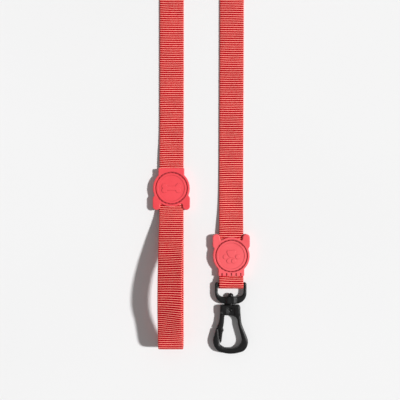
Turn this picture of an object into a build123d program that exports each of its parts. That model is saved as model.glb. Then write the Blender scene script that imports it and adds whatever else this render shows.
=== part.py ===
from build123d import *

import math
import os

# Flat webbing leash, millimetres, lying on a surface at z = 0.
# The hand loop and its badge lie along x = -STRAND_X, the hook and its badge along x = +STRAND_X.
# +Y points from the hook towards the leash's far bend, +Z up.

# Webbing
WEB_WIDTH = 25.0
WEB_THICK = 1.6
WEB_HALF = WEB_WIDTH / 2
FLOOR_MID = WEB_THICK / 2
STRAND_X = 30.75

# Badges: two moulded halves over a stack of two layers of webbing
SHELL_WALL = 1.9
FACE_RISE = 0.2
LOWER_MID = SHELL_WALL + WEB_THICK / 2
UPPER_MID = LOWER_MID + WEB_THICK
SPLIT_Z = SHELL_WALL + WEB_THICK
BADGE_TOP = 2 * SPLIT_Z + FACE_RISE
DISC_R = 18.9
COLLAR_HALF = 13.3
COLLAR_END = 20.7
CHANNEL_HALF = 12.6
LOBE_X = 15.3
LOBE_Y = -14.7
LOBE_WIDTH = 7.6
LOBE_RUN = 7.6
LOBE_NECK_R = 2.5
CORNER_R = 1.2
BADGE_EDGE = 0.8
GROOVE_R = 16.1
GROOVE_WIDTH = 1.4
GROOVE_DEPTH = 0.9
STITCH_COUNT = 8
STITCH_LENGTH = 2.7
STITCH_STEP = 3.8
STITCH_WIDTH = 0.9
STITCH_RISE = 0.6
STITCH_GAP = 0.02
NOTCH_STEP = 4.8
NOTCH_LENGTH = 6.4
NOTCH_WIDTH = 1.1
NOTCH_DEPTH = 1.3
SUNK_DEPTH = 0.3
MOTIF_RISE = 0.35
HANDLE_BADGE_Y = 74.7
HOOK_BADGE_Y = 5.3

# Tacks that sew the two layers together inside a badge
TACK_LENGTH = 17.0
TACK_ROWS = 5
TACK_ROW_STEP = 2.4
TACK_THICK = 0.35
TACK_WIDTH = 0.8

# Swivel eye, with its bar at the hook webbing's fold
EYE_X = STRAND_X - 0.5
BAR_Y = -24.7
METAL_MID = 3.9
BAR_R = 1.95
EYE_HALF = 16.2
EYE_INNER_HALF = 13.3
EYE_INNER_END = 12.2
EYE_END = 19.4
EYE_TOP = 0.7
EYE_CORNER = 11.0
EYE_INNER_CORNER = 5.5
BOSS_HALF = 5.6
BOSS_RISE = 3.2
FOLD_GAP = 0.2

# Swivel post
POST_R = 1.95
POST_BORE = 2.0
POST_END = 28.6
HEAD_R = 2.8
HEAD_TALL = 3.6
HEAD_GAP = 0.15
CROSS_PIN_R = 1.45
CROSS_PIN_Y = -25.7
CROSS_PIN_LOW = -3.1
CROSS_PIN_HIGH = 3.2

# Hook
BLOCK_TOP = 20.5
BLOCK_RISE = 3.6
BLOCK_RIGHT = 9.8
BLOCK_EDGE = 1.1
ARM_RISE = 2.7
ARM_EDGE = 1.3
RECESS_DEPTH = 0.7
PIVOT = (-7.6, -27.6)
PIVOT_R = 1.0
PIVOT_BORE = 1.05
PIVOT_PIN_LENGTH = 7.0
CHEEK_R = 3.35
KNUCKLE_HALF = 3.0
KNUCKLE_R = 2.5
SLOT_R = 3.4
SLOT_RISE = 2.5
GATE_RISE = 2.3
GATE_EDGE = 0.4
POCKET_R = 2.5
POCKET_LOW = 0.5
SPRING_WIRE = 0.45
SPRING_MEAN_R = 1.45
SPRING_PITCH = 0.5
SPRING_TURNS = 2.5
SPRING_LEG = 1.3

# Hand loop: corners of the strip's mid line seen from the side, as (y, z), each with its arc's radius
LOOP_CORNERS = [
    (93.0, UPPER_MID, 0),
    (46.0, UPPER_MID, 28),
    (-17.0, 32.2, 95),
    (-50.0, 31.6, 80),
    (-85.6, 22.0, 7),
    (-86.2, 3.4, 7),
    (-60.0, FLOOR_MID, 120),
    (26.0, FLOOR_MID, 120),
    (44.5, LOWER_MID, 120),
    (HANDLE_BADGE_Y + COLLAR_END, LOWER_MID, 0),
]

# Lead: lies flat, turns on edge, and goes round an open bend
RISE_END = 34.0
TWIST_START = 271.0
TWIST_LENGTH = 56.0
TWIST_STEPS = 6
NECK_R = 60.0
BEND_R = 60.0


def extruded(face, low, high):
    """A flat face made solid between two heights."""
    return extrude(Pos(0, 0, low) * face, amount=high - low)


def rounded_face(corners):
    """A closed outline of straight runs and tangent arcs, from (x, y, radius) corners."""
    points = [(x, y) for x, y, _ in corners]
    radii = [radius for _, _, radius in corners]
    return make_face(FilletPolyline(*points, radius=radii, close=True))


def rim_edges(solid):
    """The edges round a solid's lowest and highest flat faces."""
    faces = solid.faces().sort_by(Axis.Z)
    return faces[0].edges() + faces[-1].edges()


def side_strip(path, mid_x, width, thick):
    """A strip of webbing whose mid line lies in the YZ plane."""
    profile = trace(path, thick)
    return extrude(Plane.YZ.offset(mid_x - width / 2) * profile, amount=width)


def rounded_path(corners):
    """Straight runs joined by tangent arcs, from (along, up, radius) corners."""
    points = [(along, up) for along, up, _ in corners]
    return FilletPolyline(*points, radius=[radius for _, _, radius in corners[1:-1]])


def strip_length(path):
    return sum(edge.length for edge in path.edges())


# Badges


def badge_outline():
    """Disc, collar at +Y and two lobes at -Y, with the sharp corners rounded."""
    collar_tall = 8.0
    outline = Circle(DISC_R) + Pos(0, COLLAR_END - collar_tall / 2) * Rectangle(2 * COLLAR_HALF, collar_tall)
    for side in (-1, 1):
        outline += Pos(side * LOBE_X, LOBE_Y) * SlotCenterToCenter(LOBE_RUN, LOBE_WIDTH, rotation=90)
    lobe_top = LOBE_Y + LOBE_RUN / 2
    lobe_low = LOBE_Y - LOBE_RUN / 2 + 1
    upper = [v for v in outline.vertices() if v.Y > 0]
    between = [v for v in outline.vertices() if abs(v.X) < LOBE_X and lobe_low < v.Y < 0]
    outline = fillet(upper + between, CORNER_R)
    necks = [v for v in outline.vertices() if abs(v.X) > LOBE_X and lobe_top < v.Y < -2]
    return fillet(necks, LOBE_NECK_R)


def bone_motif():
    ends = [Pos(x, y) * Circle(2.6) for x in (-7.2, 7.2) for y in (-2.1, 2.1)]
    return Rectangle(15.0, 4.2) + ends


def paw_motif():
    toes = [(-6.4, 1.0, 2.1), (-2.5, 5.2, 2.3), (2.5, 5.2, 2.3), (6.4, 1.0, 2.1)]
    pad = make_hull((Pos(0, -1.8) * Circle(3.4)).edges() + (Pos(0, -4.4) * Rectangle(9.0, 2.6)).edges())
    pad = fillet(pad.vertices(), 1.0)
    return [pad] + [Pos(x, y) * Circle(radius) for x, y, radius in toes]


def shell_blank():
    """The badge's full thickness with both faces' edges rounded."""
    block = extruded(badge_outline(), 0, BADGE_TOP)
    return fillet(rim_edges(block), BADGE_EDGE)


def groove():
    ring = Circle(GROOVE_R + GROOVE_WIDTH / 2) - Circle(GROOVE_R - GROOVE_WIDTH / 2)
    return extruded(ring, 0, GROOVE_DEPTH)


def collar_notches():
    """Five short cuts in the front face, running out through the collar's end."""
    cuts = []
    for step in (-2, -1, 0, 1, 2):
        slot = Pos(step * NOTCH_STEP, COLLAR_END) * SlotOverall(NOTCH_LENGTH, NOTCH_WIDTH, rotation=90)
        cuts.append(extruded(slot, BADGE_TOP - NOTCH_DEPTH, BADGE_TOP))
    return cuts


def tack_recess(low, high):
    size = TACK_LENGTH + 1.0
    tall = (TACK_ROWS - 1) * TACK_ROW_STEP + TACK_WIDTH + 1.0
    return extruded(Rectangle(size, tall), low, high)


def badge_front(motif):
    upper = shell_blank() & extruded(Rectangle(60, 60), SPLIT_Z, BADGE_TOP)
    channel = extruded(Rectangle(2 * CHANNEL_HALF, 60), SPLIT_Z, SPLIT_Z + WEB_THICK)
    shell = upper - channel - Pos(0, 0, BADGE_TOP - GROOVE_DEPTH) * groove()
    shell -= tack_recess(SPLIT_Z + WEB_THICK, SPLIT_Z + WEB_THICK + TACK_THICK)
    floor = BADGE_TOP - SUNK_DEPTH
    sunk = extruded(Circle(GROOVE_R - 2.6), floor, BADGE_TOP)
    raised = [extruded(shape, floor - 0.1, floor + MOTIF_RISE) for shape in motif]
    return shell - sunk + raised


def badge_rear():
    lower = shell_blank() & extruded(Rectangle(60, 60), 0, SPLIT_Z)
    channel = extruded(Rectangle(2 * CHANNEL_HALF, 60), SHELL_WALL, SPLIT_Z)
    shell = lower - channel - groove()
    return shell - tack_recess(SHELL_WALL - TACK_THICK, SHELL_WALL)


def stitch_ring():
    """Short thread lengths lying in the groove, where it crosses the strap, on both faces."""
    step = STITCH_STEP / GROOVE_R
    middle = (STITCH_COUNT - 1) / 2
    stitches = []
    for centre in (90, -90):
        for i in range(STITCH_COUNT):
            angle = centre + math.degrees((i - middle) * step)
            thread = Rectangle(STITCH_LENGTH, STITCH_WIDTH)
            thread = fillet(thread.vertices(), STITCH_WIDTH * 0.45)
            place = Rot(0, 0, angle) * Pos(GROOVE_R, 0) * Rot(0, 0, 90)
            front = BADGE_TOP - GROOVE_DEPTH + STITCH_GAP
            rear = GROOVE_DEPTH - STITCH_GAP
            stitches.append(extruded(place * thread, front, front + STITCH_RISE))
            stitches.append(extruded(place * thread, rear - STITCH_RISE, rear))
    return Compound(children=stitches)


def bar_tack():
    """Rows of thread on both sides of the two layers."""
    rows = []
    middle = (TACK_ROWS - 1) / 2
    for i in range(TACK_ROWS):
        row = Pos(0, (i - middle) * TACK_ROW_STEP) * Rectangle(TACK_LENGTH, TACK_WIDTH)
        for low in (SHELL_WALL - TACK_THICK, SPLIT_Z + WEB_THICK):
            rows.append(extruded(row, low, low + TACK_THICK))
    return Compound(children=rows)


# Swivel eye and post, with the bar's axis at the local origin and the hook towards -Y


def swivel_eye():
    top = BAR_R + EYE_TOP
    outer = Pos(0, (top - EYE_END) / 2) * Rectangle(2 * EYE_HALF, EYE_END + top)
    outer = fillet(outer.vertices().group_by(Axis.Y)[0], EYE_CORNER)
    outer = fillet(outer.vertices().group_by(Axis.Y)[-1], 2.0)
    inner = Pos(0, -EYE_INNER_END / 2) * Rectangle(2 * EYE_INNER_HALF, EYE_INNER_END)
    inner = fillet(inner.vertices().group_by(Axis.Y)[0], EYE_INNER_CORNER)
    inner += Pos(0, 2) * Rectangle(2 * EYE_INNER_HALF, 8)
    bow = extruded(outer - inner, -BAR_R, BAR_R)
    bow = fillet(rim_edges(bow), 0.9)
    bar = Rot(0, 90, 0) * Cylinder(BAR_R, 2 * EYE_INNER_HALF + 1.0)
    boss_mid = -(EYE_INNER_END + EYE_END) / 2
    boss = Pos(0, boss_mid) * Box(2 * BOSS_HALF, EYE_END - EYE_INNER_END, 2 * BOSS_RISE)
    boss = fillet(boss.edges().filter_by(Axis.Y), 2.4)
    bore = Pos(0, boss_mid) * Rot(90, 0, 0) * Cylinder(POST_BORE, 20)
    return bow + bar + boss - bore


def swivel_rivet():
    """Dome head inside the eye, and the shank that the hook's block is pinned to."""
    under_head = -EYE_INNER_END + HEAD_GAP
    dome = Sphere(HEAD_R) & (Pos(0, HEAD_R / 2) * Box(9, HEAD_R, 9))
    collar = HEAD_TALL - HEAD_R
    head = Pos(0, under_head + collar) * dome
    head += Pos(0, under_head + collar / 2) * Rot(90, 0, 0) * Cylinder(HEAD_R, collar)
    length = under_head + POST_END
    shank = Pos(0, under_head - length / 2) * Rot(90, 0, 0) * Cylinder(POST_R, length)
    return head + shank - Pos(0, CROSS_PIN_Y) * Cylinder(CROSS_PIN_R, 20)


def cross_pin():
    pin = Pos(0, CROSS_PIN_Y) * extruded(Circle(CROSS_PIN_R), CROSS_PIN_LOW, CROSS_PIN_HIGH)
    return chamfer(pin.edges().sort_by(Axis.Z)[-1], 0.25)


# Hook, in the same local frame


def arms_outline():
    """Right arm, bottom bow and nose, from the block round to the nose's tip."""
    outer = [
        (BLOCK_RIGHT, -26.0, 0),
        (10.9, -39.2, 25),
        (18.9, -59.4, 12),
        (14.2, -68.0, 9),
        (0, -71.57, 30),
        (-14.2, -68.0, 9),
        (-19.0, -59.0, 11),
        (-15.0, -44.6, 1.4),
    ]
    inner = [
        (-12.7, -44.6, 1.0),
        (-11.2, -61.4, 2.0),
        (-6.0, -64.9, 7),
        (14.1, -65.0, 8.5),
        (7.4, -41.0, 12),
        (6.7, -31.8, 6.2),
        (-1.0, -31.6, 0),
        (-1.0, -26.0, 0),
    ]
    return rounded_face(outer + inner)


def block_outline():
    """The block round the post, ending in the cheeks that hold the gate's pin."""
    low = PIVOT[1] - CHEEK_R
    left = PIVOT[0] - CHEEK_R
    corners = [
        (left, -BLOCK_TOP, 2.6),
        (BLOCK_RIGHT, -BLOCK_TOP, 2.6),
        (BLOCK_RIGHT, low, 1.5),
        (left, low, CHEEK_R),
    ]
    return rounded_face(corners)


def hook_body():
    arms = extruded(arms_outline(), -ARM_RISE, ARM_RISE)
    arms = fillet(rim_edges(arms), ARM_EDGE)
    block = extruded(block_outline(), -BLOCK_RISE, BLOCK_RISE)
    body = arms + fillet(rim_edges(block), BLOCK_EDGE)
    body -= Pos(*PIVOT) * Cylinder(SLOT_R, 2 * SLOT_RISE)
    body -= Pos(PIVOT[0] - 2.0, PIVOT[1] - 5.0) * Box(11.0, 10.0, 2 * SLOT_RISE)
    body -= Pos(*PIVOT) * Cylinder(PIVOT_R, PIVOT_PIN_LENGTH)
    body -= Pos(0, -POST_END / 2) * Rot(90, 0, 0) * Cylinder(POST_R, POST_END)
    body -= Pos(0, CROSS_PIN_Y) * extruded(Circle(CROSS_PIN_R), CROSS_PIN_LOW, BLOCK_RISE + 1)
    recess = fillet(Rectangle(7.6, 7.4).vertices(), 0.8)
    return body - Pos(0.4, -26.5) * extruded(recess, BLOCK_RISE - RECESS_DEPTH, BLOCK_RISE + 1)


def gate_outline():
    top = PIVOT[1] + KNUCKLE_HALF
    right = PIVOT[0] + KNUCKLE_HALF
    left = PIVOT[0] - KNUCKLE_HALF
    knuckle = [(right, top, KNUCKLE_R), (left, top, KNUCKLE_R)]
    thumb = [(-11.2, -34.0, 20), (-12.3, -39.8, 12), (-14.2, -43.4, 0.8), (-13.4, -44.2, 0.5)]
    lip = [(-12.45, -44.2, 0), (-11.3, -58.4, 2), (-10.6, -60.2, 0.5), (-9.5, -57.6, 2)]
    nub = [(-8.4, -48.6, 1.5), (-7.2, -46.6, 0.8), (-8.1, -44.2, 1.5), (-7.2, -40.0, 20), (-6.6, -32.6, 4)]
    return rounded_face(knuckle + thumb + lip + nub)


def gate():
    """Sprung lever: knuckle in the slot, thumb bar in the mouth, and a thin tip behind the nose."""
    lever = extruded(gate_outline(), -GATE_RISE, GATE_RISE)
    lever = fillet(rim_edges(lever), GATE_EDGE)
    pocket = Pos(*PIVOT) * extruded(Circle(POCKET_R), POCKET_LOW, 2 * GATE_RISE)
    return lever - pocket - Pos(*PIVOT) * Cylinder(PIVOT_BORE, 10)


def gate_pivot_pin():
    return Pos(*PIVOT) * Cylinder(PIVOT_R, PIVOT_PIN_LENGTH)


def gate_spring():
    """Torsion spring round the pivot pin, beside the gate's knuckle."""
    base = POCKET_LOW + 0.1 + SPRING_WIRE / 2
    coil_path = Pos(*PIVOT, base) * Helix(SPRING_PITCH, SPRING_PITCH * SPRING_TURNS, SPRING_MEAN_R)
    section = Plane(origin=coil_path @ 0, z_dir=coil_path % 0) * Circle(SPRING_WIRE / 2)
    coil = sweep(section, path=coil_path)
    legs = []
    for at, along in ((coil_path @ 0, coil_path % 0), (coil_path @ 1, coil_path % 1)):
        flat = Vector(along.X, along.Y, 0).normalized()
        heading = flat * (-1 if at == coil_path @ 0 else 1)
        leg = Plane(origin=at, z_dir=heading) * Circle(SPRING_WIRE / 2)
        legs.append(extrude(leg, amount=SPRING_LEG))
    return coil + legs


# Webbing


def handle_loop_webbing():
    path = rounded_path(LOOP_CORNERS)
    print("hand loop, length of strip:", round(strip_length(path), 1))
    return side_strip(path, -STRAND_X, WEB_WIDTH, WEB_THICK)


def hook_loop_webbing():
    """In through the hook badge, round the eye's bar and back into the badge."""
    fold_r = BAR_R + FOLD_GAP + WEB_THICK / 2
    start_y = HOOK_BADGE_Y + DISC_R
    collar_y = HOOK_BADGE_Y - COLLAR_END - 0.8
    ring = Pos(BAR_Y, METAL_MID) * (Circle(fold_r + WEB_THICK / 2) - Circle(fold_r - WEB_THICK / 2))
    half = ring & Pos(BAR_Y - 10, METAL_MID) * Rectangle(20, 30)
    low = Polyline((BAR_Y, METAL_MID - fold_r), (collar_y, LOWER_MID), (start_y - 4.5, LOWER_MID))
    high = Polyline((BAR_Y, METAL_MID + fold_r), (collar_y, UPPER_MID), (start_y, UPPER_MID))
    length = low.length + high.length + math.pi * fold_r
    print("hook loop, length of strip:", round(length, 1))
    profile = half + trace(low, WEB_THICK) + trace(high, WEB_THICK)
    return extrude(Plane.YZ.offset(STRAND_X - WEB_HALF) * profile, amount=WEB_WIDTH)


def flat_run(mid_x, from_y, from_mid):
    """From a badge down to the surface and straight on, as far as the twist."""
    corners = [
        (from_y, from_mid, 0),
        (from_y + 6.0, from_mid, 60),
        (from_y + RISE_END, FLOOR_MID, 200),
        (TWIST_START, FLOOR_MID, 0),
    ]
    path = rounded_path(corners)
    return side_strip(path, mid_x, WEB_WIDTH, WEB_THICK), strip_length(path)


def twist_section(mid_x, share, turn):
    """The strip's cross-section part-way through its quarter turn, resting on its lowest corner."""
    angle = share * 90
    lift = WEB_HALF * math.sin(math.radians(angle)) + WEB_THICK / 2 * math.cos(math.radians(angle))
    at = Plane(origin=(mid_x, TWIST_START + share * TWIST_LENGTH, lift), x_dir=(1, 0, 0), z_dir=(0, 1, 0))
    return at * Rot(0, 0, turn * angle) * Rectangle(WEB_WIDTH, WEB_THICK)


def twist(mid_x, turn):
    sections = [twist_section(mid_x, i / TWIST_STEPS, turn) for i in range(TWIST_STEPS + 1)]
    return loft(sections, ruled=True)


def open_bend():
    """Both necks curve outwards and a large bend joins them, with the strip standing on edge."""
    start_y = TWIST_START + TWIST_LENGTH
    opening = math.acos((STRAND_X + NECK_R) / (NECK_R + BEND_R))
    centre_y = start_y + (NECK_R + BEND_R) * math.sin(opening)
    arcs = []
    for side in (-1, 1):
        neck = CenterArc((side * (STRAND_X + NECK_R), start_y), NECK_R, 0, math.degrees(opening))
        if side > 0:
            neck = CenterArc((STRAND_X + NECK_R, start_y), NECK_R, 180, -math.degrees(opening))
        arcs.append(neck)
    bend = CenterArc((0, centre_y), BEND_R, -math.degrees(opening), 180 + 2 * math.degrees(opening))
    arcs.append(bend)
    length = sum(arc.length for arc in arcs)
    print("bend radii:", NECK_R, BEND_R, "reach:", round(centre_y + BEND_R, 1))
    band = [extruded(trace(arc, WEB_THICK), 0, WEB_WIDTH) for arc in arcs]
    return band, length


def lead_webbing():
    left, left_length = flat_run(-STRAND_X, HANDLE_BADGE_Y + COLLAR_END, LOWER_MID)
    right, right_length = flat_run(STRAND_X, HOOK_BADGE_Y + DISC_R, UPPER_MID)
    band, bend_length = open_bend()
    solid = left + right + twist(-STRAND_X, 1) + twist(STRAND_X, -1) + band
    length = left_length + right_length + bend_length + 2 * TWIST_LENGTH
    print("lead length:", round(length, 1), "section times length:", round(length * WEB_WIDTH * WEB_THICK))
    print("lead volume:", round(solid.volume), "solids:", len(solid.solids()))
    return solid


# Assembly

HANDLE_BADGE = Pos(-STRAND_X, HANDLE_BADGE_Y)
HOOK_BADGE = Pos(STRAND_X, HOOK_BADGE_Y) * Rot(0, 0, 180)
METAL = Pos(EYE_X, BAR_Y, METAL_MID)

nodes = {
    "handle_badge_front": HANDLE_BADGE * badge_front([bone_motif()]),
    "handle_badge_rear": HANDLE_BADGE * badge_rear(),
    "handle_badge_stitching": HANDLE_BADGE * stitch_ring(),
    "handle_bar_tack": HANDLE_BADGE * bar_tack(),
    "hook_badge_front": HOOK_BADGE * (badge_front(paw_motif()) - collar_notches()),
    "hook_badge_rear": HOOK_BADGE * badge_rear(),
    "hook_badge_stitching": HOOK_BADGE * stitch_ring(),
    "hook_bar_tack": HOOK_BADGE * bar_tack(),
    "handle_loop_webbing": handle_loop_webbing(),
    "hook_loop_webbing": hook_loop_webbing(),
    "lead_webbing": lead_webbing(),
    "swivel_eye": METAL * swivel_eye(),
    "swivel_rivet": METAL * swivel_rivet(),
    "swivel_cross_pin": METAL * cross_pin(),
    "hook_body": METAL * hook_body(),
    "gate": METAL * gate(),
    "gate_pivot_pin": METAL * gate_pivot_pin(),
    "gate_spring": METAL * gate_spring(),
}

os.makedirs("parts", exist_ok=True)
for name, shape in nodes.items():
    export_step(shape, f"parts/{name}.step")
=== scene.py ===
import math

import bpy
import numpy as np
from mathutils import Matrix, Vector


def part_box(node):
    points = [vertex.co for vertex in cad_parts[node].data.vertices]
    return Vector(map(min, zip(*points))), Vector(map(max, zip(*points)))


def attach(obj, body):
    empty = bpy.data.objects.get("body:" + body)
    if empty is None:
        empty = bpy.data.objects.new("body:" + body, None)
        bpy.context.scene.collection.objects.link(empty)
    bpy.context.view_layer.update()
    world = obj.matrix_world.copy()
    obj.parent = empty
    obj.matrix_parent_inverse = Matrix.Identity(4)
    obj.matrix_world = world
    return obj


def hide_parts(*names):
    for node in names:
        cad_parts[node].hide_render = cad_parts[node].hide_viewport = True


# Looks of a flat webbing leash: ribbed strip, moulded badges with lock stitches, a coated swivel hook.
# Sizes are millimetres, turned into metres where a mesh, light or camera is made.

MM = 0.001

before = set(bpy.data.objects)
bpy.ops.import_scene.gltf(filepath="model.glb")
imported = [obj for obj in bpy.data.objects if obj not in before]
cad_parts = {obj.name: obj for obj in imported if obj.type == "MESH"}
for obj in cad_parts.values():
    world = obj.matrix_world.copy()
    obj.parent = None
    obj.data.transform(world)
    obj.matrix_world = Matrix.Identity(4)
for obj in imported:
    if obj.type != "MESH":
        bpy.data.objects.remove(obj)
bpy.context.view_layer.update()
scene = bpy.context.scene
scene.view_settings.view_transform = "Standard"

# Points that Blender reads from each piece of a spline
SPLINE_STEPS = 96

# Webbing
WEB_WIDTH = 25.0
WEB_THICK = 1.6
WEB_HALF = WEB_WIDTH / 2
CREST_HALF = WEB_THICK / 2
VALLEY_HALF = 0.42
EDGE_NIP = 0.22
RIB_PITCH = 2.22
RIB_STEPS = (0.0, 0.06, 0.2, 0.38, 0.62, 0.8, 0.94)
YARN_WIDTH = 0.62
YARN_SHIFT = 0.05

# The strip's cross-section: places across its face, angles of its rounded edge, and that edge's share
FACE_STEPS = (0.9, 0.62, 0.3, 0.0, -0.3, -0.62, -0.9)
EDGE_ANGLES = (-52, -22, 0, 22, 52)
EDGE_SHARE = 0.035

# How far the ribs stray along the strip, and over how many ribs each wave runs
RIB_BOW = 0.28
BOW_WAVE = 17.3
RIB_RIPPLE = 0.12
RIPPLE_WAVE = 5.1
RIB_SKEW = 0.22
SKEW_WAVE = 29.0

# Lead: control points of the strip's middle line as it lies flat. It stands on edge at the far bend.
LEAD_ROUTE = [
    (-30.75, 75.0, 2.7),
    (-30.75, 104.0, 2.7),
    (-30.7, 127.0, 0.8),
    (-30.6, 190.0, 0.8),
    (-30.6, 262.0, 0.8),
    (-30.75, 349.0, 0.8),
    (-61.0, 384.5, 0.8),
    (-59.0, 432.0, 0.8),
    (-24.0, 465.5, 0.8),
    (24.0, 465.5, 0.8),
    (59.0, 432.0, 0.8),
    (61.0, 384.5, 0.8),
    (31.6, 349.0, 0.8),
    (31.6, 262.0, 0.8),
    (31.2, 150.0, 0.8),
    (30.8, 58.0, 0.8),
    (30.75, 30.0, 4.3),
    (30.75, 8.0, 4.3),
]
TWIST_START = 271.0
TWIST_LENGTH = 56.0

# Hand loop, side view (y, z): out of the badge, over a low arch, round the end and back below
HAND_LOOP = [
    (90.0, 4.3),
    (60.0, 4.3),
    (46.0, 5.4),
    (20.0, 17.3),
    (-10.0, 29.3),
    (-42.0, 33.8),
    (-66.0, 26.8),
    (-84.0, 22.0),
    (-87.2, 17.5),
    (-88.0, 9.0),
    (-88.3, 2.2),
    (-84.5, 0.8),
    (-60.0, 0.8),
    (-10.0, 0.8),
    (28.0, 0.8),
    (45.0, 2.7),
    (75.0, 2.7),
]

# Its upper layer rolls a little, from below the badge (y) to before the end; the lower layer doesn't
LOOP_ROLL = math.radians(14)
LOOP_DRIFT = -0.45
ROLL_START = 48.0
ROLL_GROWS_OVER = 62.0
ROLL_END = -90.0
ROLL_FADES_OVER = 34.0
ROLL_LEAVES_OVER = 30.0

# Hook loop, side view (y, z): through the badge and round the eye's bar
HOOK_LOOP = [
    (8.0, 4.3),
    (-15.0, 4.3),
    (-20.8, 6.9),
    (-25.2, 7.1),
    (-28.05, 5.0),
    (-27.7, 1.9),
    (-25.4, 0.85),
    (-21.5, 0.85),
    (-15.0, 2.7),
    (19.0, 2.7),
]

# Stitches in the badges' grooves
GROOVE_R = 16.1
GROOVE_DEPTH = 0.9
STITCH_COUNT = 8
STITCH_STEP = 3.8
STITCH_LENGTH = 2.7
STITCH_DIP = 0.55
THREAD_R = 0.42
THREAD_SIDES = 12
THREAD_TAPER = (0.35, 0.8, 1.0, 1.0, 1.04, 1.0, 1.0, 0.8, 0.35)
THREAD_SEAT = 0.9

# How far from an edge the shading turns, on the castings and on the badges
COATING_SOFTNESS = 2.6
SKIN_SOFTNESS = 0.5

# The badges' hollows: how far shade reaches into them, and its colour
HOLLOW_REACH = 1.6
HOLLOW_SHADE_RED = (0.46, 0.008, 0.018)

# Noise scales, per metre
YARN_FUZZ = 2600.0
WEB_CLOUDS = 55.0
SKIN_FLOW = 38.0
SKIN_GRAIN = 3200.0
THREAD_FUZZ = 3000.0
CAST_SKIN = 420.0
COATING_SCUFFS = 1500.0
DRAWN_LINES = 1800.0

# Depths of the fine relief
WEAVE_RELIEF = 0.12
GRAIN_RELIEF = 0.04
PLY_RELIEF = 0.08
CAST_RELIEF = 0.06
DRAWN_RELIEF = 0.02

# Camera: straight above, as far away as a short telephoto view needs

CAMERA_PLACE = (-1.35, 62.6, 576.0)
CAMERA_LENS = 50.0
NEAREST = 10.0
FARTHEST = 50000.0


def add_camera():
    data = bpy.data.cameras.new("camera")
    data.lens = CAMERA_LENS
    data.clip_start = NEAREST * MM
    data.clip_end = FARTHEST * MM
    camera = bpy.data.objects.new("camera", data)
    camera.location = Vector(CAMERA_PLACE) * MM
    scene.collection.objects.link(camera)
    scene.camera = camera


# Lines and strips


def spline_line(points):
    """The points of a NURBS spline with these control points, in millimetres."""
    curve = bpy.data.curves.new("route", "CURVE")
    curve.dimensions = "3D"
    curve.resolution_u = SPLINE_STEPS
    spline = curve.splines.new("NURBS")
    spline.points.add(len(points) - 1)
    for spot, point in zip(spline.points, points):
        spot.co = (*point, 1.0)
    spline.order_u = 3
    spline.use_endpoint_u = True
    spline.resolution_u = SPLINE_STEPS
    holder = bpy.data.objects.new("route", curve)
    mesh = bpy.data.meshes.new_from_object(holder)
    line = np.array([v.co for v in mesh.vertices], float)
    bpy.data.objects.remove(holder)
    bpy.data.curves.remove(curve)
    bpy.data.meshes.remove(mesh)
    return line


def lengths_along(line):
    steps = np.linalg.norm(np.diff(line, axis=0), axis=1)
    return np.concatenate([[0.0], np.cumsum(steps)])


def at_lengths(line, along, wanted):
    return np.stack([np.interp(wanted, along, line[:, k]) for k in range(3)], axis=1)


def smooth_step(value):
    share = np.clip(value, 0.0, 1.0)
    return share * share * (3 - 2 * share)


def unit(rows):
    return rows / np.linalg.norm(rows, axis=1)[:, None]


def rib_stations(length):
    """Places of the rings along a strip, in rib counts."""
    ribs = round(length / RIB_PITCH)
    steps = [rib + share for rib in range(ribs) for share in RIB_STEPS]
    return np.array(steps + [ribs], float)


def strip_section():
    """The strip's cross-section as shares of its half width and half thickness, anticlockwise."""
    inset = 1 - EDGE_SHARE
    turn = [math.radians(angle) for angle in EDGE_ANGLES]
    right = [(inset + EDGE_SHARE * math.cos(angle), math.sin(angle)) for angle in turn]
    top = [(u, 1.0) for u in FACE_STEPS]
    left = [(-u, -v) for u, v in right]
    low = [(-u, -1.0) for u in FACE_STEPS]
    return np.array(right + top + left + low)


def rib_wander(count, across):
    """How far the ribs stray along the strip: a slow bow and skew, the same every time."""
    bow = RIB_BOW * np.sin(count / BOW_WAVE + 0.6) + RIB_RIPPLE * np.sin(count / RIPPLE_WAVE)
    skew = RIB_SKEW * np.sin(count / SKEW_WAVE + 1.1)
    return bow[:, None] * (1 - across[None, :] ** 2) + skew[:, None] * across[None, :]


def build_strip(name, line, side_at, roll_at, drift_at=None):
    """Ribbed webbing along a line. side_at gives its direction across and roll_at its roll."""
    along = lengths_along(line)
    count = rib_stations(along[-1])
    wanted = count / count[-1] * along[-1]
    centre = at_lengths(line, along, wanted)
    tangent = unit(np.gradient(centre, wanted, axis=0))
    side = side_at(centre, tangent)
    normal = unit(np.cross(side, tangent))
    roll = roll_at(centre, wanted)
    turned = np.cos(roll)[:, None] * side - np.sin(roll)[:, None] * normal
    facing = np.sin(roll)[:, None] * side + np.cos(roll)[:, None] * normal
    if drift_at is not None:
        centre = centre + drift_at(centre, roll)
    share = count - np.floor(count)
    lump = np.sqrt(np.clip(1 - (2 * share - 1) ** 2, 0, 1))
    thick = VALLEY_HALF + (CREST_HALF - VALLEY_HALF) * lump
    wide = WEB_HALF - EDGE_NIP * (1 - lump)
    section = strip_section()
    points = centre[:, None, :]
    points = points + turned[:, None, :] * (wide[:, None] * section[None, :, 0])[:, :, None]
    points = points + facing[:, None, :] * (thick[:, None] * section[None, :, 1])[:, :, None]
    points = points + tangent[:, None, :] * rib_wander(count, section[:, 0])[:, :, None]
    return strip_object(name, points * MM, count, section[:, 0] * WEB_HALF), centre * MM


def tube_faces(rings, sides, base=0):
    """Faces that join rings of points into a closed tube, from point number base on."""
    faces = []
    for ring in range(rings - 1):
        near = base + ring * sides
        far = near + sides
        for k in range(sides):
            after = (k + 1) % sides
            faces.append((near + k, near + after, far + after, far + k))
    last = base + (rings - 1) * sides
    faces.append(tuple(base + k for k in reversed(range(sides))))
    faces.append(tuple(last + k for k in range(sides)))
    return faces


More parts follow.
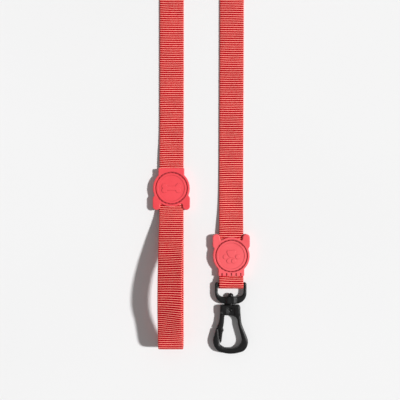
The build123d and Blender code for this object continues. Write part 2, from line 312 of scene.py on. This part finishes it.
def strip_object(name, points, count, across):
    rings, sides = points.shape[:2]
    mesh = bpy.data.meshes.new(name)
    mesh.from_pydata(points.reshape(-1, 3).tolist(), [], tube_faces(rings, sides))
    put_values(mesh, "rib", np.repeat(count, sides))
    put_values(mesh, "across", np.tile(across, rings))
    mesh.shade_smooth()
    return add_piece(name, mesh)


def put_values(mesh, name, values):
    attribute = mesh.attributes.new(name, "FLOAT", "POINT")
    attribute.data.foreach_set("value", values.astype(np.float32))


def add_piece(name, mesh):
    mesh.update()
    piece = bpy.data.objects.new(name, mesh)
    scene.collection.objects.link(piece)
    return piece


def add_lead(finish):
    """The free strip between the badges: flat in the middle, turned on edge at the far bend."""
    line = spline_line(LEAD_ROUTE)

    def level_side(centre, tangent):
        return unit(np.cross(tangent, (0.0, 0.0, 1.0)))

    def on_edge(centre, wanted):
        return math.radians(90) * smooth_step((centre[:, 1] - TWIST_START) / TWIST_LENGTH)

    def lift(centre, roll):
        rise = WEB_HALF * np.sin(roll) + CREST_HALF * (np.cos(roll) - 1)
        return np.stack([0 * rise, 0 * rise, rise], axis=1)

    lead, centre = build_strip("lead_strip", line, level_side, on_edge, lift)
    lead.data.materials.append(finish)
    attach(lead, "leash")
    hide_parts("lead_webbing")


def sideways(centre, tangent):
    return np.tile([1.0, 0.0, 0.0], (len(centre), 1))


def no_roll(centre, wanted):
    return np.zeros(len(centre))


def add_hand_loop(finish):
    low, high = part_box("handle_badge_front")
    middle = (low.x + high.x) / 2 / MM
    line = spline_line([(middle, y, z) for y, z in HAND_LOOP])
    upper = lengths_along(line)[np.argmin(line[:, 1])]

    def lean(centre, wanted):
        grown = smooth_step((ROLL_START - centre[:, 1]) / ROLL_GROWS_OVER)
        left = smooth_step((centre[:, 1] - ROLL_END) / ROLL_FADES_OVER)
        return LOOP_ROLL * grown * left * smooth_step((upper - wanted) / ROLL_LEAVES_OVER)

    def drift(centre, roll):
        shift = LOOP_DRIFT * roll / LOOP_ROLL
        return np.stack([shift, 0 * shift, 0 * shift], axis=1)

    loop, _ = build_strip("hand_loop_strip", line, sideways, lean, drift)
    loop.data.materials.append(finish)
    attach(loop, "leash")
    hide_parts("handle_loop_webbing")


def add_hook_loop(finish):
    low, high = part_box("hook_loop_webbing")
    middle = (low.x + high.x) / 2 / MM
    line = spline_line([(middle, y, z) for y, z in HOOK_LOOP])
    loop, _ = build_strip("hook_loop_strip", line, sideways, no_roll)
    loop.data.materials.append(finish)
    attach(loop, "leash")
    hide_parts("hook_loop_webbing")


# Thread


def thread_points(centre, angle, height, lift):
    """One stitch: a short arc of the groove, whose two ends dive into the badge."""
    half_turn = STITCH_LENGTH / 2 / GROOVE_R
    spots = []
    for share in np.linspace(-1, 1, len(THREAD_TAPER)):
        at = angle + share * half_turn
        rise = lift * (THREAD_R * THREAD_SEAT - STITCH_DIP * share ** 4)
        x = centre.x + GROOVE_R * math.cos(at)
        y = centre.y + GROOVE_R * math.sin(at)
        spots.append((x, y, height + rise))
    return np.array(spots)


def tube_rings(spots, radii, sides):
    tangent = unit(np.gradient(spots, axis=0))
    side = unit(np.cross(tangent, (0.0, 0.0, 1.0)))
    normal = np.cross(side, tangent)
    angle = np.linspace(0, 2 * math.pi, sides, endpoint=False)
    out = np.cos(angle)[None, :, None] * side[:, None, :]
    out = out + np.sin(angle)[None, :, None] * normal[:, None, :]
    return spots[:, None, :] + out * radii[:, None, None]


def add_stitches(name, node, front, body, finish):
    """Thread ring that replaces a badge's plain stitches, on both of its faces."""
    low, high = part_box(node)
    centre = (low + high) / 2 / MM
    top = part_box(front)[1].z / MM
    verts, faces, turns = [], [], []
    radii = THREAD_R * np.array(THREAD_TAPER)
    middle = (STITCH_COUNT - 1) / 2
    for start in (math.pi / 2, -math.pi / 2):
        for i in range(STITCH_COUNT):
            angle = start + (i - middle) * STITCH_STEP / GROOVE_R
            for height, lift in ((top - GROOVE_DEPTH, 1), (GROOVE_DEPTH, -1)):
                rings = tube_rings(thread_points(centre, angle, height, lift), radii, THREAD_SIDES)
                faces += tube_faces(len(rings), THREAD_SIDES, len(verts))
                verts += (rings.reshape(-1, 3) * MM).tolist()
                turns += [share for share in range(len(rings)) for _ in range(THREAD_SIDES)]
    mesh = bpy.data.meshes.new(name)
    mesh.from_pydata(verts, [], faces)
    put_values(mesh, "turn", np.array(turns, float))
    mesh.shade_smooth()
    ring = add_piece(name, mesh)
    ring.data.materials.append(finish)
    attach(ring, body)
    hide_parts(node)


# Materials


class Finish:
    """One node material, with short calls that add and join its nodes."""

    def __init__(self, name, **values):
        self.material = bpy.data.materials.new(name)
        self.material.use_nodes = True
        self.tree = self.material.node_tree
        self.shader = self.tree.nodes["Principled BSDF"]
        for socket, value in values.items():
            self.set(socket.replace("_", " "), value)

    def set(self, socket, value):
        self.feed(self.shader.inputs[socket], value)

    def feed(self, socket, value):
        if isinstance(value, bpy.types.NodeSocket):
            self.tree.links.new(value, socket)
        else:
            socket.default_value = value

    def add(self, kind, inputs=None, **settings):
        made = self.tree.nodes.new("ShaderNode" + kind)
        for key, value in settings.items():
            setattr(made, key, value)
        for key, value in (inputs or {}).items():
            self.feed(made.inputs[key], value)
        return made

    def value(self, name):
        return self.add("Attribute", attribute_name=name).outputs["Fac"]

    def place(self):
        return self.add("TexCoord").outputs["Object"]

    def math(self, operation, first, second=0.0, third=0.0):
        return self.add("Math", {0: first, 1: second, 2: third}, operation=operation).outputs[0]

    def noise(self, vector, scale, detail=3.0, roughness=0.5):
        inputs = {"Vector": vector, "Scale": scale, "Detail": detail, "Roughness": roughness}
        return self.add("TexNoise", inputs).outputs["Fac"]

    def between(self, value, low, high, start=0.0, end=1.0):
        inputs = {"Value": value, "From Min": start, "From Max": end, "To Min": low, "To Max": high}
        return self.add("MapRange", inputs).outputs["Result"]

    def ramp(self, value, stops):
        made = self.add("ValToRGB", {"Fac": value})
        elements = made.color_ramp.elements
        while len(elements) < len(stops):
            elements.new(0.5)
        for element, (at, colour) in zip(elements, stops):
            element.position = at
            element.color = (*colour, 1.0)
        return made.outputs["Color"]

    def mix(self, share, first, second, blend="MIX"):
        made = self.add("Mix", data_type="RGBA", blend_type=blend)
        for index, value in ((0, share), (6, first), (7, second)):
            if isinstance(value, tuple):
                value = (*value, 1.0)
            self.feed(made.inputs[index], value)
        return made.outputs[2]

    def bump(self, height, depth, strength=1.0, softness=None):
        """Fine relief of this depth. Softness rounds the shading off that far from each edge."""
        inputs = {"Height": height, "Distance": depth * MM, "Strength": strength}
        if softness is not None:
            inputs["Normal"] = self.add("Bevel", {"Radius": softness * MM}, samples=6).outputs[0]
        self.set("Normal", self.add("Bump", inputs).outputs["Normal"])


def webbing_finish():
    """Woven strip: warp yarns run along it over round ribs, with a painted highlight, pale, on the
    crests and painted shade, deep red, between them.
    """
    web = Finish("webbing", Specular_IOR_Level=0.16, Sheen_Weight=0.02, Sheen_Roughness=0.4)
    web.set("Sheen Tint", (1.0, 0.72, 0.68, 1.0))
    yarn = web.math("DIVIDE", web.value("across"), YARN_WIDTH)
    column = web.math("FLOOR", yarn)
    odd = web.math("MODULO", web.math("ABSOLUTE", column), 2.0)
    share = web.math("FRACT", web.math("MULTIPLY_ADD", odd, YARN_SHIFT, web.value("rib")))
    off_crest = web.math("ABSOLUTE", web.math("MULTIPLY_ADD", share, 2.0, -1.0))
    crest = web.math("SUBTRACT", 1.0, web.math("POWER", off_crest, 2.2))
    across_yarn = web.math("ABSOLUTE", web.math("SINE", web.math("MULTIPLY", yarn, math.pi)))
    place = web.place()
    spot = web.add("CombineXYZ", {0: column, 1: web.math("FLOOR", web.value("rib"))}).outputs[0]
    each = web.add("TexWhiteNoise", {"Vector": spot}, noise_dimensions="3D").outputs["Value"]
    fuzz = web.noise(place, YARN_FUZZ, 4.0, 0.7)
    cloudy = web.noise(place, WEB_CLOUDS, 2.0)
    # Painted highlight and shade: pale colour on each rib's crest, darkening to deep red in the valleys
    # between ribs
    tone = web.ramp(off_crest, [
        (0.0, (1.0, 0.76, 0.60)),
        (0.08, (1.0, 0.64, 0.50)),
        (0.165, (0.84, 0.012, 0.024)),
        (0.6, (0.56, 0.0015, 0.009)),
        (1.0, (0.28, 0.0004, 0.003)),
    ])
    yarn_tone_and_gap_shade = web.between(each, 0.95, 1.05)
    yarn_tone_and_gap_shade = web.math("MULTIPLY", yarn_tone_and_gap_shade, web.between(cloudy, 0.92, 1.06, 0.3, 0.7))
    # Painted shade and light: darker where neighbouring yarn columns meet, a little lighter over their
    # middles; the rest of this factor is random tone per yarn and in clouds
    yarn_tone_and_gap_shade = web.math("MULTIPLY", yarn_tone_and_gap_shade, web.between(across_yarn, 0.9, 1.03))
    grey = web.add("CombineColor", {0: yarn_tone_and_gap_shade, 1: yarn_tone_and_gap_shade, 2: yarn_tone_and_gap_shade}).outputs[0]
    web.set("Base Color", web.mix(1.0, tone, grey, "MULTIPLY"))
    web.set("Roughness", web.between(fuzz, 0.42, 0.68))
    height = web.math("MULTIPLY_ADD", across_yarn, 0.5, web.math("MULTIPLY", crest, 0.35))
    height = web.math("MULTIPLY_ADD", fuzz, 0.35, height)
    web.bump(height, WEAVE_RELIEF)
    return web.material


def rubber_finish(name, deep, pale):
    """Soft moulded plastic: a fine matt skin, painted shade in its hollows (a darker red where the
    surface is closed in) and faint flow marks.
    """
    skin = Finish(name, Specular_IOR_Level=0.55, Sheen_Weight=0.35, Sheen_Roughness=0.45)
    skin.set("Sheen Tint", (1.0, 0.8, 0.8, 1.0))
    place = skin.place()
    flow = skin.noise(place, SKIN_FLOW, 3.0, 0.55)
    grain = skin.noise(place, SKIN_GRAIN, 2.0, 0.6)
    even = skin.ramp(flow, [(0.3, deep), (0.7, pale)])
    # Painted shade: the colour turns a darker red where the surface is closed in, in grooves, notches
    # and corners
    openness = skin.add("AmbientOcclusion", {"Distance": HOLLOW_REACH * MM}, samples=12).outputs["AO"]
    open_share = skin.between(openness, 0.0, 1.0, 0.35, 0.95)
    skin.set("Base Color", skin.mix(open_share, HOLLOW_SHADE_RED, even))
    skin.set("Roughness", skin.between(skin.math("ADD", grain, flow), 0.42, 0.58, 0.6, 1.4))
    skin.bump(grain, GRAIN_RELIEF, 0.7, SKIN_SOFTNESS)
    return skin.material


def thread_finish():
    thread = Finish("lock_stitch_thread", Sheen_Weight=0.2, Specular_IOR_Level=0.4)
    place = thread.place()
    ply = thread.math("SINE", thread.math("MULTIPLY", thread.value("turn"), 3.4))
    fuzz = thread.noise(place, THREAD_FUZZ, 3.0, 0.7)
    # The thread's dark red is partly its own colour and partly painted shade, for the shade of the
    # groove it lies in
    thread.set("Base Color", thread.ramp(fuzz, [
        (0.3, (0.42, 0.006, 0.02)),
        (0.75, (0.62, 0.02, 0.035)),
    ]))
    thread.set("Roughness", thread.between(fuzz, 0.5, 0.75))
    thread.bump(thread.math("MULTIPLY_ADD", fuzz, 0.5, ply), PLY_RELIEF)
    return thread.material


def coated_metal_finish():
    """Black coated casting: satin, a little uneven, with fine scuffs and soft edges."""
    black = Finish("black_coating", Specular_IOR_Level=0.42)
    place = black.place()
    cast = black.noise(place, CAST_SKIN, 4.0, 0.6)
    drawn_out = black.add("Mapping", {"Vector": place, "Scale": (1.0, 0.12, 1.0)}).outputs[0]
    scuff = black.noise(drawn_out, COATING_SCUFFS, 2.0)
    patchy = black.between(cast, 0.3, 0.7, 0.3, 0.7)
    tone = black.math("MULTIPLY", patchy, black.between(scuff, 0.8, 1.2))
    black.set("Base Color", black.ramp(tone, [
        (0.2, (0.0012, 0.0012, 0.0013)),
        (0.8, (0.005, 0.005, 0.0053)),
    ]))
    black.set("Roughness", black.between(scuff, 0.33, 0.44, 0.3, 0.7))
    black.bump(cast, CAST_RELIEF, 0.8, COATING_SOFTNESS)
    return black.material


def steel_finish():
    steel = Finish("spring_steel", Metallic=1.0)
    place = steel.place()
    squeezed = steel.add("Mapping", {"Vector": place, "Scale": (1.0, 1.0, 6.0)}).outputs[0]
    drawn = steel.noise(squeezed, DRAWN_LINES, 3.0)
    steel.set("Base Color", steel.ramp(drawn, [(0.2, (0.42, 0.42, 0.43)), (0.8, (0.62, 0.62, 0.63))]))
    steel.set("Roughness", steel.between(drawn, 0.2, 0.4))
    steel.bump(drawn, DRAWN_RELIEF, 0.6)
    return steel.material


def finish_node(name, material):
    """Gives a carried-over CAD node its material."""
    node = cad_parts[name]
    if not node.material_slots:
        node.data.materials.append(material)
    for slot in node.material_slots:
        slot.material = material


# Floor and light

# A pale sheet
FLOOR_HALF = 6000.0
FLOOR_CELLS = 24
PAPER_CLOUDS = 3.0
PAPER_GRAIN = 900.0
PAPER_RELIEF = 0.02

# The key light's direction (from +X, turned towards +Y, and its height), strength and apparent size
KEY_TURN = math.radians(6)
KEY_RISE = math.radians(45)
KEY_POWER = 3.88
KEY_SPREAD = math.radians(5)

# The room's light, even above FILL_EDGE and paler below HORIZON_EDGE (sine of the height)
FILL_POWER = 0.235
FILL_EDGE = 0.35
HORIZON_POWER = 0.8
HORIZON_EDGE = 0.06


def add_floor():
    """A plain pale sheet, a little uneven in tone."""
    paper = Finish("pale_floor", Roughness=0.75, Specular_IOR_Level=0.2)
    tone = paper.noise(paper.place(), PAPER_CLOUDS, 2.0)
    paper.set("Base Color", paper.ramp(tone, [(0.3, (0.79, 0.79, 0.79)), (0.7, (0.81, 0.81, 0.81))]))
    paper.bump(paper.noise(paper.place(), PAPER_GRAIN, 3.0), PAPER_RELIEF, 0.3)
    steps = np.linspace(-FLOOR_HALF, FLOOR_HALF, FLOOR_CELLS + 1) * MM
    row = FLOOR_CELLS + 1
    verts = [(x, y, 0.0) for y in steps for x in steps]
    faces = []
    for j in range(FLOOR_CELLS):
        for i in range(FLOOR_CELLS):
            at = j * row + i
            faces.append((at, at + 1, at + row + 1, at + row))
    mesh = bpy.data.meshes.new("floor")
    mesh.from_pydata(verts, [], faces)
    mesh.materials.append(paper.material)
    add_piece("floor", mesh)


def add_key_light():
    """One lamp low on the +X side, small enough for clear shadows."""
    data = bpy.data.lights.new("key", "SUN")
    data.energy = KEY_POWER
    data.angle = KEY_SPREAD
    key = bpy.data.objects.new("key", data)
    towards = Vector((
        math.cos(KEY_RISE) * math.cos(KEY_TURN),
        math.cos(KEY_RISE) * math.sin(KEY_TURN),
        math.sin(KEY_RISE),
    ))
    key.rotation_mode = "QUATERNION"
    key.rotation_quaternion = towards.to_track_quat("Z", "Y")
    key.location = towards
    scene.collection.objects.link(key)


def add_fill():
    """Even light from the whole room, paler near the horizon."""
    world = bpy.data.worlds.new("room")
    scene.world = world
    world.use_nodes = True
    tree = world.node_tree
    background = tree.nodes["Background"]
    place = tree.nodes.new("ShaderNodeTexCoord")
    split = tree.nodes.new("ShaderNodeSeparateXYZ")
    ramp = tree.nodes.new("ShaderNodeValToRGB")
    tree.links.new(place.outputs["Generated"], split.inputs[0])
    tree.links.new(split.outputs["Z"], ramp.inputs[0])
    tree.links.new(ramp.outputs["Color"], background.inputs["Color"])
    stops = ramp.color_ramp.elements
    stops[0].position = HORIZON_EDGE
    stops[0].color = (HORIZON_POWER, HORIZON_POWER, HORIZON_POWER, 1.0)
    stops[1].position = FILL_EDGE
    stops[1].color = (FILL_POWER, FILL_POWER, FILL_POWER, 1.0)


add_camera()
webbing = webbing_finish()
add_lead(webbing)
add_hand_loop(webbing)
add_hook_loop(webbing)

thread = thread_finish()
add_stitches("handle_badge_thread", "handle_badge_stitching", "handle_badge_front", "leash", thread)
add_stitches("hook_badge_thread", "hook_badge_stitching", "hook_badge_front", "leash", thread)

# Both badges are one rubber; the hook badge's paler colours are painted light, as if more light fell on
# it than on the handle badge
handle_rubber = rubber_finish("handle_badge_skin", (0.77, 0.042, 0.056), (0.86, 0.060, 0.076))
hook_rubber = rubber_finish("hook_badge_skin", (0.80, 0.074, 0.088), (0.88, 0.100, 0.114))
for half in ("front", "rear"):
    finish_node("handle_badge_" + half, handle_rubber)
    finish_node("hook_badge_" + half, hook_rubber)
for tack in ("handle_bar_tack", "hook_bar_tack"):
    finish_node(tack, thread)
coating = coated_metal_finish()
for casting in ("swivel_eye", "swivel_rivet", "swivel_cross_pin", "hook_body", "gate", "gate_pivot_pin"):
    finish_node(casting, coating)
finish_node("gate_spring", steel_finish())

add_floor()
add_key_light()
add_fill()
